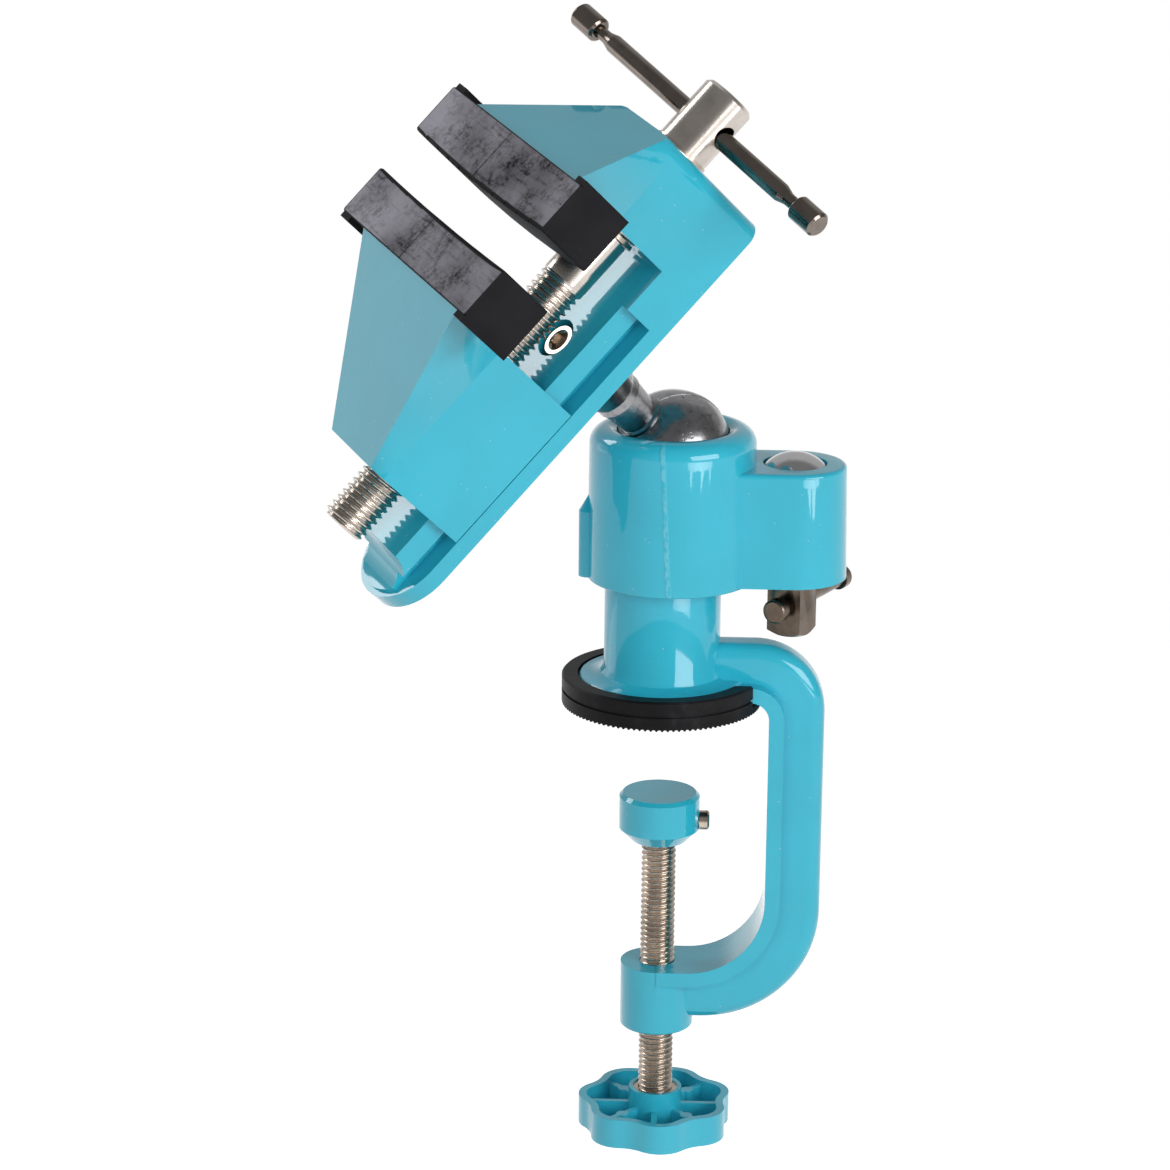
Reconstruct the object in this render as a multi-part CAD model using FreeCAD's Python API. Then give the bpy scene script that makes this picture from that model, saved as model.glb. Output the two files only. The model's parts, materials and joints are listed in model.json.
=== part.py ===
"""Ball vise: a small screw vise on a ball joint, carried by a C-clamp for the edge of a bench.

Millimetres.  The origin is the middle of the underside of the rubber foot (the bench top),
+Z points up along the post and +X points toward the arm of the clamp.  The vise head has a
frame of its own: its origin is the ball's centre, x runs along the spindle toward the
handle, z runs from the ball up to the jaws.
"""
import FreeCAD, Part
import math
import os

Vec = FreeCAD.Vector
X_AXIS, Y_AXIS, Z_AXIS = Vec(1, 0, 0), Vec(0, 1, 0), Vec(0, 0, 1)

# ---- clearances ------------------------------------------------------------------------
running_gap = 0.3        # between faces that slide or turn past one another
shaft_fit = 0.08         # radial clearance of a shaft that turns in a hole
seat_fit = 0.02          # between pieces that stay together
overcut = 1.0            # how far a cutting tool runs past the face it opens

# ---- C-clamp ---------------------------------------------------------------------------
foot_radius = 27.0
foot_height = 8.2
foot_floor = 2.0
foot_groove_depth = 0.5
foot_groove_height = 0.8
disc_radius = 22.4
disc_top = 8.0
post_radius = 15.7
post_engagement = 15.0   # length of post inside the socket
post_fillet = 2.6
arm_inner_x = 29.2       # throat side of the upright
arm_outer_x = 44.3       # back of the upright
arm_top = 17.8
arm_bottom = -90.4
throat_top = 3.2
throat_bottom = -75.0
flange_thickness = 4.1
flange_half_width = 10.5
web_half_thickness = 6.0
web_edge_radius = 4.0
back_radius_top = 19.0
back_radius_bottom = 32.0
throat_radius_top = 5.0
throat_radius_bottom = 21.0
boss_radius = 10.1
boss_top = -75.2
boss_bottom = -93.7
boss_edge = 0.9

# ---- clamp screw, 3/8 inch ---------------------------------------------------------------
clamp_screw_radius = 9.525 / 2
clamp_screw_neck_radius = 3.1
clamp_screw_tip = -29.6
pad_radius = 11.0
pad_top = -26.0
pad_bottom = -39.5
pad_chamfer = 3.4
pad_screw_height = -34.0
pad_screw_shank = 1.9
pad_screw_head = 2.7
pad_screw_length = 2.7
neck_half_height = 2.3
knob_rim = -115.9
knob_depth = 8.3
knob_bottom = knob_rim - knob_depth
hub_radius = 7.6
hub_rise = 3.3           # the hub stands this far above the rim
hub_top = knob_rim + hub_rise
hub_foot = 0.6           # and its underside lies this far above the knob's
knob_hub_bottom = knob_bottom + hub_foot
insert_radius = 6.1
insert_drop = 0.4        # the steel insert lies this far below the hub's top
knob_tip_radius = 21.4   # over the lobes
knob_valley_radius = 19.2  # between them
knob_lobe_radius = 8.2
knob_lobes = 7
knob_first_lobe = -83.0  # degrees from +X
knob_wall = 2.2
knob_floor = 2.0
knob_ribs = 8
knob_rib_thickness = 1.6
knob_rib_drop = 1.6      # the ribs stop this far below the rim
knob_pin_radius = 1.7    # round bosses on every second rib
knob_pin_distance = 12.5

# ---- socket housing ----------------------------------------------------------------------
socket_offset = 2.1      # the ball's axis stands this far from the post's, toward the lug
socket_radius = 22.3     # at the rim
socket_draft = 0.35      # how much wider the casting is at its foot
socket_bottom = 35.5
post_top = socket_bottom + post_engagement
seat_over_post = 0.4
seat_bottom = post_top + seat_over_post
seat_height = 9.1
seat_top = seat_bottom + seat_height
ball_over_seat = 20.1    # the ball's centre above the seat's underside
ball_height = seat_bottom + ball_over_seat
rim_rise = 6.0           # the rim above the ball's centre
socket_rim = ball_height + rim_rise
rim_round = 4.6
ball_radius = 15.6
lip_radius = 15.1
lip_flare = 2.0
rib_radius = 2.7
rib_angle = 187.0        # degrees from +X
rib_top = 54.0
rib_tip = 4.6
lug_x = 34.7
lug_half_width = 13.8    # at its top
lug_draft = 0.6
lug_top = 67.5
lug_bottom = 36.3
lug_edge = 1.2
recess_radius = 8.6
recess_depth = 1.5

# ---- clamping bolt in the lug --------------------------------------------------------------
bolt_radius = 4.0        # M8
bolt_head_radius = 8.05
bolt_head_height = 4.4
bolt_head_rim = 1.1
bolt_square = 8.0
bolt_square_length = 4.5
shoe_half_width = 6.0
shoe_bottom = 41.2
shoe_drop = 0.7          # the shoe's top below the ball seat
shoe_top = seat_bottom - shoe_drop
shoe_back = 41.0
washer_thickness = 1.5
washer_radius = 5.9
nut_collar_radius = 5.6
nut_side = 9.8
nut_drop = 0.9           # the square's top below the lug
nut_top = lug_bottom - nut_drop
nut_bottom = 20.3
nut_face_radius = 4.7    # of the round flat left inside the bevel
nut_bevel = 30.0         # degrees
lock_bar_rise = 8.3
lock_bar_height = nut_bottom + lock_bar_rise
lock_bar_radius = 2.4
bolt_end_gap = 1.3       # between the bar and the bolt's end
bolt_end = lock_bar_height + lock_bar_radius + bolt_end_gap
lock_bar_angle = 27.5    # degrees from +Y toward +X
lock_bar_near = 11.0
lock_bar_far = 30.6
lock_cap_radius = 3.3
lock_cap_length = 3.4

# ---- attitude of the vise head ---------------------------------------------------------------
head_azimuth = 217.7     # degrees from +X, the side the stem leans to
head_tilt = 47.9         # degrees between the stem and the post
head_spin = 166.7        # degrees about the stem

# ---- ball stud ---------------------------------------------------------------------------
stem_root = 14.2
stem_root_radius = 5.5
stem_seam = 24.3
stem_seam_radius = 6.4
neck_ring_radius = 6.2
neck_ring_width = 1.0
parting_band_height = 0.35
parting_band_width = 1.6
spacer_flare_start = 27.0
spacer_flare_radius = 11.5
spacer_flange = 2.2
stud_screw_radius = 3.0  # M6
stud_screw_depth = 8.0
stud_screw_head_radius = 4.7
stud_screw_head_height = 5.4
stud_washer_radius = 5.3
stud_washer_thickness = 0.9
hex_flat = 5.0
hex_depth = 3.0
hex_mouth_radius = 3.2
stud_recess_radius = 5.7
stud_recess_depth = 7.4

# ---- guide rail and base plate ---------------------------------------------------------------
base_bottom = 37.5
base_top = 42.5
base_half_width = 15.5
base_end_x = 56.0        # outer end of the fixed jaw
tip_centre_x = -66.0     # centre of the rounded end
web_rail_half_width = 9.3
flange_rail_half_width = 12.6
flange_rail_bottom = 45.7
rail_top = 52.0
rail_end_x = -69.4       # the rail's top stops here and runs down in a hollow
rail_end_radius = 8.4
rail_end_inset = 1.6
foot_start_x = 17.3      # the groove beside the rail closes here
end_corner_radius = 5.0

# ---- jaws ----------------------------------------------------------------------------------
jaw_width = 75.0
pad_thickness = 14.8
pad_height = 17.8
jaw_pad_top = 102.6
fixed_pad_bow = 1.1      # how far the fixed pad's face stands out in the middle
moving_pad_bow = -0.6    # the moving pad's face is hollow
pad_lip = 3.6            # rubber in front of and around the jaw plate
pad_cover = 2.8
pad_edge_round = 0.8
ear_depth = 1.6
ear_drop = 0.6
ear_width = 4.6
fixed_pad_face = 15.6    # gripping face of the fixed pad
jaw_gap = 13.2
plate_thickness = 7.0
wing_top_half_width = 29.0
wing_top_drop = 3.1      # the wedge's top below the pad's
wing_top = jaw_pad_top - wing_top_drop
wing_end_half_width = 12.5
spindle_rise = 10.0      # the spindle's axis above the rail
spindle_height = rail_top + spindle_rise
crease_rise = 10.5       # the wedge starts to widen this far above the spindle
wing_crease = spindle_height + crease_rise
wing_end_height = 3.5
wing_end_top = wing_crease + wing_end_height
moving_end_x = -56.4

# ---- spindle, 1/2 inch -----------------------------------------------------------------------
spindle_radius = 12.7 / 2
spindle_start_x = -73.0
spindle_chamfer = 1.2
journal_radius = 5.6
ring_groove_depth = 0.9
retaining_ring_radius = 7.4
retaining_ring_thickness = 1.2
thrust_washer_radius = 7.9
thrust_washer_thickness = 1.2
handle_head_radius = 7.5
handle_head_end_x = 75.8
handle_head_edge = 1.0
tommy_x = 66.4
tommy_lie = 0.35         # the bar lies this far toward the jaws in its hole
tommy_radius = 2.55
tommy_tilt = 21.0        # degrees of the bar out of the jaws' cross direction
tommy_half_length = 50.2
tommy_slip = 3.6         # how far the bar hangs off centre in the head
tommy_lean = 2.1         # degrees the bar leans in its loose hole
tommy_hole_radius = 3.25
tommy_neck_radius = 1.75
tommy_neck_length = 3.2
tommy_taper_length = 3.0
tommy_cap_radius = 3.45
tommy_cap_length = 9.0
tommy_cap_edge = 0.7


# ---- building blocks -------------------------------------------------------------------------
def rod(radius, z0, z1, x=0.0, y=0.0):
    return Part.makeCylinder(radius, z1 - z0, Vec(x, y, z0), Z_AXIS)


def rod_between(radius, start, end):
    return Part.makeCylinder(radius, (end - start).Length, start, end - start)


def block(x0, x1, y0, y1, z0, z1):
    return Part.makeBox(x1 - x0, y1 - y0, z1 - z0, Vec(x0, y0, z0))


def turned(points, axis_point=Vec(0, 0, 0)):
    """Solid of revolution about Z from corners given as (radius, height)."""
    wire = Part.makePolygon([Vec(r, 0, z) for r, z in points + points[:1]])
    solid = Part.Face(wire).revolve(Vec(0, 0, 0), Z_AXIS, 360)
    solid.translate(axis_point)
    return solid


def rounded_outline(corners):
    """Closed wire in the XZ plane; each corner is (x, z, radius), radius 0 keeps it sharp."""
    starts, ends, middles = [], [], []
    count = len(corners)
    for i, (x, z, radius) in enumerate(corners):
        here = Vec(x, 0, z)
        before = Vec(corners[i - 1][0], 0, corners[i - 1][1]) - here
        after = Vec(corners[(i + 1) % count][0], 0, corners[(i + 1) % count][1]) - here
        before.normalize()
        after.normalize()
        half = before.getAngle(after) / 2
        reach = radius / math.tan(half) if radius else 0.0
        starts.append(here + before * reach)
        ends.append(here + after * reach)
        inward = before + after
        middle = here
        if radius:
            inward.normalize()
            middle = here + inward * (radius / math.sin(half) - radius)
        middles.append(middle)
    edges = []
    for i in range(count):
        if corners[i][2]:
            edges.append(Part.Arc(starts[i], middles[i], ends[i]).toShape())
        following = (i + 1) % count
        if (starts[following] - ends[i]).Length > seat_fit:
            edges.append(Part.makeLine(ends[i], starts[following]))
    return Part.Wire(edges)


def upright_plate(corners, half_thickness):
    """Plate in the XZ plane, the same thickness either side of it."""
    face = Part.Face(rounded_outline(corners))
    face.translate(Vec(0, -half_thickness, 0))
    return face.extrude(Vec(0, 2 * half_thickness, 0))


def flat_plate(corners, z0, z1):
    wire = Part.makePolygon([Vec(x, y, z0) for x, y in corners + corners[:1]])
    return Part.Face(wire).extrude(Vec(0, 0, z1 - z0))


def section(x, corners):
    """Closed wire across the head's x axis from corners given as (y, z)."""
    return Part.makePolygon([Vec(x, y, z) for y, z in corners + corners[:1]])


def joined(first, *others):
    return first.fuse(list(others)).removeSplitter()


def round_edges(shape, radius, chosen):
    return shape.makeFillet(radius, [edge for edge in shape.Edges if chosen(edge)])


def is_circle_at(edge, z, radius):
    curve = edge.Curve
    return (isinstance(curve, Part.Circle) and abs(curve.Radius - radius) < seat_fit
            and abs(curve.Center.z - z) < seat_fit)


def on_z_axis_to_x(shape):
    """Lay a piece that was turned about Z along x instead."""
    shape.rotate(Vec(0, 0, 0), Y_AXIS, 90)
    return shape


def in_head(shape):
    """Carry a piece from the head's frame to its place on the ball joint."""
    turn = (FreeCAD.Rotation(Z_AXIS, head_azimuth) * FreeCAD.Rotation(Y_AXIS, head_tilt)
            * FreeCAD.Rotation(Z_AXIS, head_spin))
    place = FreeCAD.Placement(Vec(socket_offset, 0, ball_height), turn)
    return shape.transformed(place.toMatrix(), copy=True)


# ---- C-clamp -----------------------------------------------------------------------------------
def clamp_frame():
    """Disc, post, T-section arm and threaded boss in one casting."""
    upper_band = throat_top + flange_thickness
    lower_band = throat_bottom - flange_thickness
    band_x = arm_inner_x + flange_thickness
    flange = upright_plate([
        (0, upper_band, 0), (band_x, upper_band, throat_radius_top + flange_thickness),
        (band_x, lower_band, throat_radius_bottom + flange_thickness), (0, lower_band, 0),
        (0, throat_bottom, 0), (arm_inner_x, throat_bottom, throat_radius_bottom),
        (arm_inner_x, throat_top, throat_radius_top), (0, throat_top, 0)], flange_half_width)
    middle = flange_thickness / 2
    web = upright_plate([
        (0, arm_top, 0), (arm_outer_x, arm_top, back_radius_top),
        (arm_outer_x, arm_bottom, back_radius_bottom), (0, arm_bottom, 0),
        (0, throat_bottom - middle, 0),
        (arm_inner_x + middle, throat_bottom - middle, throat_radius_bottom + middle),
        (arm_inner_x + middle, throat_top + middle, throat_radius_top + middle),
        (0, throat_top + middle, 0)], web_half_thickness)

    def back_edge(edge):
        box = edge.BoundBox
        on_side = box.YLength < seat_fit and abs(abs(box.YMin) - web_half_thickness) < seat_fit
        outside = box.ZMin > arm_top - seat_fit or box.ZMax < arm_bottom + seat_fit
        behind = box.XMax > arm_outer_x - seat_fit
        return on_side and (outside or behind)

    web = round_edges(web, web_edge_radius, back_edge)
    keep = block(0, arm_outer_x + overcut, -foot_radius, foot_radius, lower_band - foot_radius,
                 arm_top + overcut)
    arm = joined(flange, web).common(keep)
    body = joined(turned([
        (0, foot_floor), (disc_radius - overcut / 2, foot_floor),
        (disc_radius, foot_floor + overcut / 2), (disc_radius, disc_top - overcut / 2),
        (disc_radius - overcut / 2, disc_top), (post_radius + post_fillet, disc_top),
        (post_radius + post_fillet / 3, disc_top + post_fillet / 3),
        (post_radius, disc_top + post_fillet), (post_radius, post_top - overcut),
        (post_radius - overcut, post_top), (0, post_top)]), arm)
    boss = round_edges(rod(boss_radius, boss_bottom, boss_top), boss_edge,
                       lambda edge: is_circle_at(edge, boss_bottom, boss_radius))
    body = joined(body, boss)
    return body.cut(rod(clamp_screw_radius + shaft_fit, boss_bottom - overcut, boss_top + overcut))


def base_foot():
    """Rubber cup under the disc, cut away where the arm passes."""
    inner = disc_radius + running_gap
    groove_low = (foot_height - foot_groove_height) / 2
    cup = turned([
        (0, 0), (foot_radius - overcut / 2, 0), (foot_radius, overcut / 2),
        (foot_radius, groove_low), (foot_radius - foot_groove_depth, groove_low),
        (foot_radius - foot_groove_depth, groove_low + foot_groove_height),
        (foot_radius, groove_low + foot_groove_height), (foot_radius, foot_height - overcut / 2),
        (foot_radius - overcut / 2, foot_height), (inner, foot_height),
        (inner, foot_floor - seat_fit), (0, foot_floor - seat_fit)])
    side = flange_half_width + running_gap
    return cup.cut(block(0, foot_radius + overcut, -side, side, foot_floor, foot_height + overcut))


def pressure_pad():
    """Swivelling cup that bears on the underside of the bench."""
    wall = clamp_screw_radius + shaft_fit
    ceiling = clamp_screw_tip + running_gap
    cup = turned([
        (wall, pad_bottom), (pad_radius - pad_chamfer, pad_bottom),
        (pad_radius, pad_bottom + pad_chamfer), (pad_radius, pad_top - overcut),
        (pad_radius - overcut, pad_top), (0, pad_top), (0, ceiling), (wall, ceiling)])
    flat = pad_radius - seat_fit
    bore = rod_between(pad_screw_shank + seat_fit, Vec(0, 0, pad_screw_height),
                       Vec(pad_radius + overcut, 0, pad_screw_height))
    seat = rod_between(pad_screw_head + running_gap, Vec(flat, 0, pad_screw_height),
                       Vec(pad_radius + overcut, 0, pad_screw_height))
    return cup.cut(bore).cut(seat)


def pad_screw():
    """Cross screw that keeps the pad on the neck of the clamp screw."""
    head_start = pad_radius
    head_end = head_start + pad_screw_length
    tip = clamp_screw_neck_radius + running_gap
    screw = turned([
        (0, tip), (pad_screw_shank, tip), (pad_screw_shank, head_start),
        (pad_screw_head, head_start), (pad_screw_head, head_end - overcut / 2),
        (pad_screw_head - overcut / 2, head_end), (0, head_end)])
    screw = on_z_axis_to_x(screw)
    slot = block(head_end - overcut, head_end + overcut, -running_gap, running_gap,
                 -pad_screw_head, pad_screw_head)
    screw = screw.cut(slot)
    screw.translate(Vec(0, 0, pad_screw_height))
    return screw


def clamp_screw():
    """Threaded rod with a turned neck inside the pad; its lower end sits in the knob."""
    neck_top = pad_screw_height + neck_half_height
    neck_low = pad_screw_height - neck_half_height
    end = knob_hub_bottom + knob_floor
    return turned([
        (0, end), (clamp_screw_radius, end), (clamp_screw_radius, neck_low),
        (clamp_screw_neck_radius, neck_low), (clamp_screw_neck_radius, neck_top),
        (clamp_screw_radius, neck_top), (clamp_screw_radius, clamp_screw_tip - overcut),
        (clamp_screw_radius - overcut, clamp_screw_tip), (0, clamp_screw_tip)])


def around(radius, degrees, z):
    angle = math.radians(degrees)
    return Vec(radius * math.cos(angle), radius * math.sin(angle), z)


def lobed_prism(inset, z0, z1):
    """Column whose outline runs from lobe to hollow in arcs that touch without a corner."""
    half_step = 180 / knob_lobes
    lobe_centre = knob_tip_radius - knob_lobe_radius
    along = lobe_centre * math.cos(math.radians(half_step))
    hollow_radius = ((lobe_centre ** 2 + knob_valley_radius ** 2 - 2 * along * knob_valley_radius
                      - knob_lobe_radius ** 2) / (2 * (knob_lobe_radius + along - knob_valley_radius)))
    share = (knob_lobe_radius - inset) / (knob_lobe_radius + hollow_radius)
    middles, touches = [], []
    for step in range(2 * knob_lobes):
        here = knob_first_lobe + step * half_step
        on_lobe = step % 2 == 0
        middles.append(around((knob_tip_radius if on_lobe else knob_valley_radius) - inset, here, z0))
        lobe = around(lobe_centre, here if on_lobe else here + half_step, z0)
        hollow = around(knob_valley_radius + hollow_radius, here + half_step if on_lobe else here, z0)
        touches.append(lobe + (hollow - lobe) * share)
    arcs = [Part.Arc(touches[step - 1], middles[step], touches[step]).toShape()
            for step in range(2 * knob_lobes)]
    return Part.Face(Part.Wire(arcs)).extrude(Vec(0, 0, z1 - z0))


def knob():
    """Hollow lobed hand knob with a hub, radial ribs and a round boss on every second rib."""
    shell = lobed_prism(0, knob_bottom, knob_rim)
    hollow = lobed_prism(knob_wall, knob_bottom + knob_floor, knob_rim + overcut)
    body = shell.cut(hollow)
    hub = turned([
        (0, knob_hub_bottom), (hub_radius, knob_hub_bottom), (hub_radius - running_gap, hub_top),
        (0, hub_top)])
    rib_top = knob_rim - knob_rib_drop
    rib_low = knob_bottom + knob_floor / 2
    reach = knob_valley_radius - knob_wall / 2
    inner = insert_radius + seat_fit
    floor = knob_hub_bottom + knob_floor - seat_fit
    additions = [hub]
    for index in range(knob_ribs):
        rib = block(inner, reach, -knob_rib_thickness / 2, knob_rib_thickness / 2, rib_low, rib_top)
        rib.rotate(Vec(0, 0, 0), Z_AXIS, index * 360 / knob_ribs)
        additions.append(rib)
        if index % 2:
            pin = rod(knob_pin_radius, rib_low, rib_top)
            pin.translate(around(knob_pin_distance, index * 360 / knob_ribs, 0))
            additions.append(pin)
    return joined(body, *additions).cut(rod(inner, floor, hub_top + overcut))


def knob_insert():
    """Steel sleeve moulded into the hub, around the end of the screw."""
    floor = knob_hub_bottom + knob_floor
    top = hub_top - insert_drop
    return rod(insert_radius, floor, top).cut(
        rod(clamp_screw_radius + seat_fit, floor - overcut, top + overcut))


# ---- socket and its clamping bolt --------------------------------------------------------------
def lug_block():
    """Bar from the socket's middle with a half-round end about the bolt, wider toward its foot."""
    def outline(half_width, z):
        near, far = Vec(socket_offset, -half_width, z), Vec(lug_x, -half_width, z)
        tip = Vec(lug_x + half_width, 0, z)
        far_side, near_side = Vec(lug_x, half_width, z), Vec(socket_offset, half_width, z)
        return Part.Wire([Part.makeLine(near, far), Part.Arc(far, tip, far_side).toShape(),
                          Part.makeLine(far_side, near_side), Part.makeLine(near_side, near)])
    return Part.makeLoft([outline(lug_half_width + lug_draft, lug_bottom),
                          outline(lug_half_width, lug_top)], True, True)


def socket_housing():
    """Tube over post and ball, with a lug for the clamping bolt and a rib on the far side."""
    wide_end = socket_radius + socket_draft
    outer = Part.makeCone(wide_end, socket_radius, socket_rim - socket_bottom,
                          Vec(socket_offset, 0, socket_bottom), Z_AXIS)
    outer = round_edges(outer, rim_round, lambda edge: is_circle_at(edge, socket_rim, socket_radius))
    outer = round_edges(outer, overcut / 2,
                        lambda edge: is_circle_at(edge, socket_bottom, wide_end))
    lug = lug_block()
    lug = round_edges(lug, lug_edge, lambda edge: edge.BoundBox.ZMin > lug_top - seat_fit)
    rib = joined(rod(rib_radius, socket_bottom + overcut / 2, rib_top),
                 Part.makeCone(rib_radius, 0, rib_tip, Vec(0, 0, rib_top), Z_AXIS))
    turn = math.radians(rib_angle)
    rib.translate(Vec(socket_offset + socket_radius * math.cos(turn),
                      socket_radius * math.sin(turn), 0))
    body = joined(outer, lug, rib)

    ball_bore = ball_radius + running_gap
    lip_z = ball_height + math.sqrt(ball_bore ** 2 - lip_radius ** 2)
    ball_room = rod(ball_bore, seat_bottom - running_gap, ball_height, socket_offset)
    centre = Vec(socket_offset, 0, ball_height)
    dome = Part.makeSphere(ball_bore, centre).common(
        rod(ball_bore + overcut, ball_height, lip_z, socket_offset))
    mouth = turned([
        (0, lip_z - seat_fit), (lip_radius, lip_z - seat_fit), (lip_radius + lip_flare, socket_rim),
        (lip_radius + lip_flare, socket_rim + overcut), (0, socket_rim + overcut)],
        Vec(socket_offset, 0, 0))
    post_bore = rod(post_radius + running_gap, socket_bottom - overcut, seat_bottom)
    body = body.cut(ball_room).cut(dome).cut(mouth).cut(post_bore)

    floor = lug_top - recess_depth
    bolt_path = rod(bolt_radius + running_gap, lug_bottom, floor, lug_x)
    square = bolt_square / 2 + running_gap
    square_hole = block(lug_x - square, lug_x + square, -square, square,
                        floor - bolt_square_length - running_gap, floor + seat_fit)
    side = shoe_half_width + running_gap
    pocket = block(post_radius - overcut, shoe_back + running_gap, -side, side,
                   lug_bottom - overcut, shoe_top + running_gap)
    body = body.cut(rod(recess_radius, floor, lug_top + overcut, lug_x))
    return body.cut(bolt_path).cut(square_hole).cut(pocket)


def clamp_shoe():
    """Sliding wedge inside the lug that the bolt presses against the post."""
    shoe = block(post_radius, shoe_back, -shoe_half_width, shoe_half_width, shoe_bottom, shoe_top)
    shoe = shoe.cut(rod(post_radius + running_gap, shoe_bottom - overcut, shoe_top + overcut))
    return shoe.cut(rod(bolt_radius + running_gap, shoe_bottom - overcut, shoe_top + overcut, lug_x))


def lock_bolt():
    """Mushroom-headed bolt with a square neck, head up in the lug's recess."""
    floor = lug_top - recess_depth
    rim = floor + bolt_head_rim
    crown = floor + bolt_head_height
    rise = crown - rim
    dome_radius = (bolt_head_radius ** 2 + rise ** 2) / (2 * rise)
    dome = Part.makeSphere(dome_radius, Vec(lug_x, 0, crown - dome_radius))
    head = joined(rod(bolt_head_radius, floor, rim, lug_x),
                  dome.common(rod(bolt_head_radius, rim, crown + overcut, lug_x)))
    half = bolt_square / 2
    neck = block(lug_x - half, lug_x + half, -half, half, floor - bolt_square_length, floor)
    return joined(head, neck, rod(bolt_radius, bolt_end, floor, lug_x))


def lock_washer():
    top = shoe_bottom - seat_fit
    ring = rod(washer_radius, top - washer_thickness, top, lug_x)
    return ring.cut(rod(bolt_radius + running_gap, top - washer_thickness - overcut,
                        top + overcut, lug_x))


def lock_nut():
    """Square block nut with a round collar inside the lug and a cross hole for the bar."""
    half = nut_side / 2
    reach = 2 * half
    rise = math.tan(math.radians(nut_bevel)) * (reach - nut_face_radius)
    head = block(-half, half, -half, half, nut_bottom, nut_top).common(turned([
        (0, nut_bottom), (nut_face_radius, nut_bottom), (reach, nut_bottom + rise),
        (reach, nut_top + overcut), (0, nut_top + overcut)]))
    collar = rod(nut_collar_radius, nut_top - seat_fit,
                 shoe_bottom - 2 * seat_fit - washer_thickness)
    body = joined(head, collar)
    thread_hole = rod(bolt_radius + shaft_fit, bolt_end - overcut, shoe_bottom)
    bar_hole = rod_between(lock_bar_radius + shaft_fit, Vec(0, -nut_side, lock_bar_height),
                           Vec(0, nut_side, lock_bar_height))
    body = body.cut(thread_hole).cut(bar_hole)
    body.rotate(Vec(0, 0, 0), Z_AXIS, -lock_bar_angle)
    body.translate(Vec(lug_x, 0, 0))
    return body


def along_lock_bar(shape):
    """Carry a piece built along Z to the line of the bar, +Z becoming its far end."""
    turn = FreeCAD.Rotation(Z_AXIS, -lock_bar_angle) * FreeCAD.Rotation(X_AXIS, -90)
    place = FreeCAD.Placement(Vec(lug_x, 0, lock_bar_height), turn)
    return shape.transformed(place.toMatrix(), copy=True)


def lock_bar():
    return along_lock_bar(rod(lock_bar_radius, lock_cap_length / 3 - lock_bar_near,
                              lock_bar_far - lock_cap_length / 3))


def lock_bar_caps():
    """The two end caps, pressed over the ends of the bar."""
    edge = overcut / 2
    floor = lock_cap_length / 3
    caps = []
    for start, outward in ((lock_bar_far, 1), (-lock_bar_near, -1)):
        cup = turned([
            (0, start), (lock_cap_radius - edge, start), (lock_cap_radius, start - edge * outward),
            (lock_cap_radius, start - lock_cap_length * outward),
            (lock_bar_radius + seat_fit, start - lock_cap_length * outward),
            (lock_bar_radius + seat_fit, start - (floor - seat_fit) * outward),
            (0, start - (floor - seat_fit) * outward)])
        caps.append(along_lock_bar(cup))
    return Part.makeCompound(caps)


def ball_seat():
    """Cup between the post's end and the ball."""
    body = rod(ball_radius, seat_bottom, seat_top, socket_offset)
    return body.cut(Part.makeSphere(ball_radius + running_gap,
                                    Vec(socket_offset, 0, ball_height)))


# ---- ball stud, in the head's frame ----------------------------------------------------------
def ball_stud():
    """Ball with a conical stem, a bright neck ring and the parting band of its mould."""
    hidden = math.sqrt(ball_radius ** 2 - stem_root_radius ** 2)
    stem = turned([
        (0, hidden - overcut), (stem_root_radius, hidden - overcut), (neck_ring_radius, stem_root),
        (neck_ring_radius, stem_root + neck_ring_width),
        (stem_root_radius, stem_root + neck_ring_width + overcut / 2),
        (stem_seam_radius, stem_seam), (0, stem_seam)])
    ball = Part.makeSphere(ball_radius, Vec(0, 0, 0))
    band = Part.makeSphere(ball_radius + parting_band_height / 2, Vec(0, 0, 0)).common(
        block(-ball_radius - overcut, ball_radius + overcut, -parting_band_width / 2,
              parting_band_width / 2, -ball_radius - overcut, stem_root))
    body = joined(ball, band, stem)
    hole = rod(stud_screw_radius + seat_fit, stem_seam - stud_screw_depth, stem_seam + overcut)
    return body.cut(hole)


def stud_spacer():
    """Flared collar that spreads the stem's load into the base plate."""
    bottom = stem_seam + seat_fit
    top = base_bottom - seat_fit
    inner = stud_screw_radius + seat_fit
    return turned([
        (inner, bottom), (stem_seam_radius + running_gap, bottom),
        (stem_seam_radius + running_gap, spacer_flare_start),
        (spacer_flare_radius, top - spacer_flange), (spacer_flare_radius, top), (inner, top)])


def stud_washer():
    floor = rail_top - stud_recess_depth
    ring = rod(stud_washer_radius, floor + seat_fit, floor + seat_fit + stud_washer_thickness)
    return ring.cut(rod(stud_screw_radius + seat_fit, floor - overcut, rail_top))


def stud_screw():
    """Socket-head cap screw that holds the vise body on the ball stud."""
    seat = rail_top - stud_recess_depth + 2 * seat_fit + stud_washer_thickness
    crown = seat + stud_screw_head_height
    tip = stem_seam - stud_screw_depth + overcut
    screw = turned([
        (0, tip), (stud_screw_radius - overcut / 2, tip), (stud_screw_radius, tip + overcut / 2),
        (stud_screw_radius, seat), (stud_screw_head_radius, seat),
        (stud_screw_head_radius, crown - running_gap),
        (stud_screw_head_radius - running_gap, crown), (0, crown)])
    corners = [(hex_flat / math.sqrt(3) * math.cos(math.radians(60 * i)),
                hex_flat / math.sqrt(3) * math.sin(math.radians(60 * i))) for i in range(6)]
    mouth = Part.makeCone(0, hex_mouth_radius, hex_mouth_radius, Vec(0, 0, crown - hex_mouth_radius), Z_AXIS)
    return screw.cut(flat_plate(corners, crown - hex_depth, crown + overcut)).cut(mouth)


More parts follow.
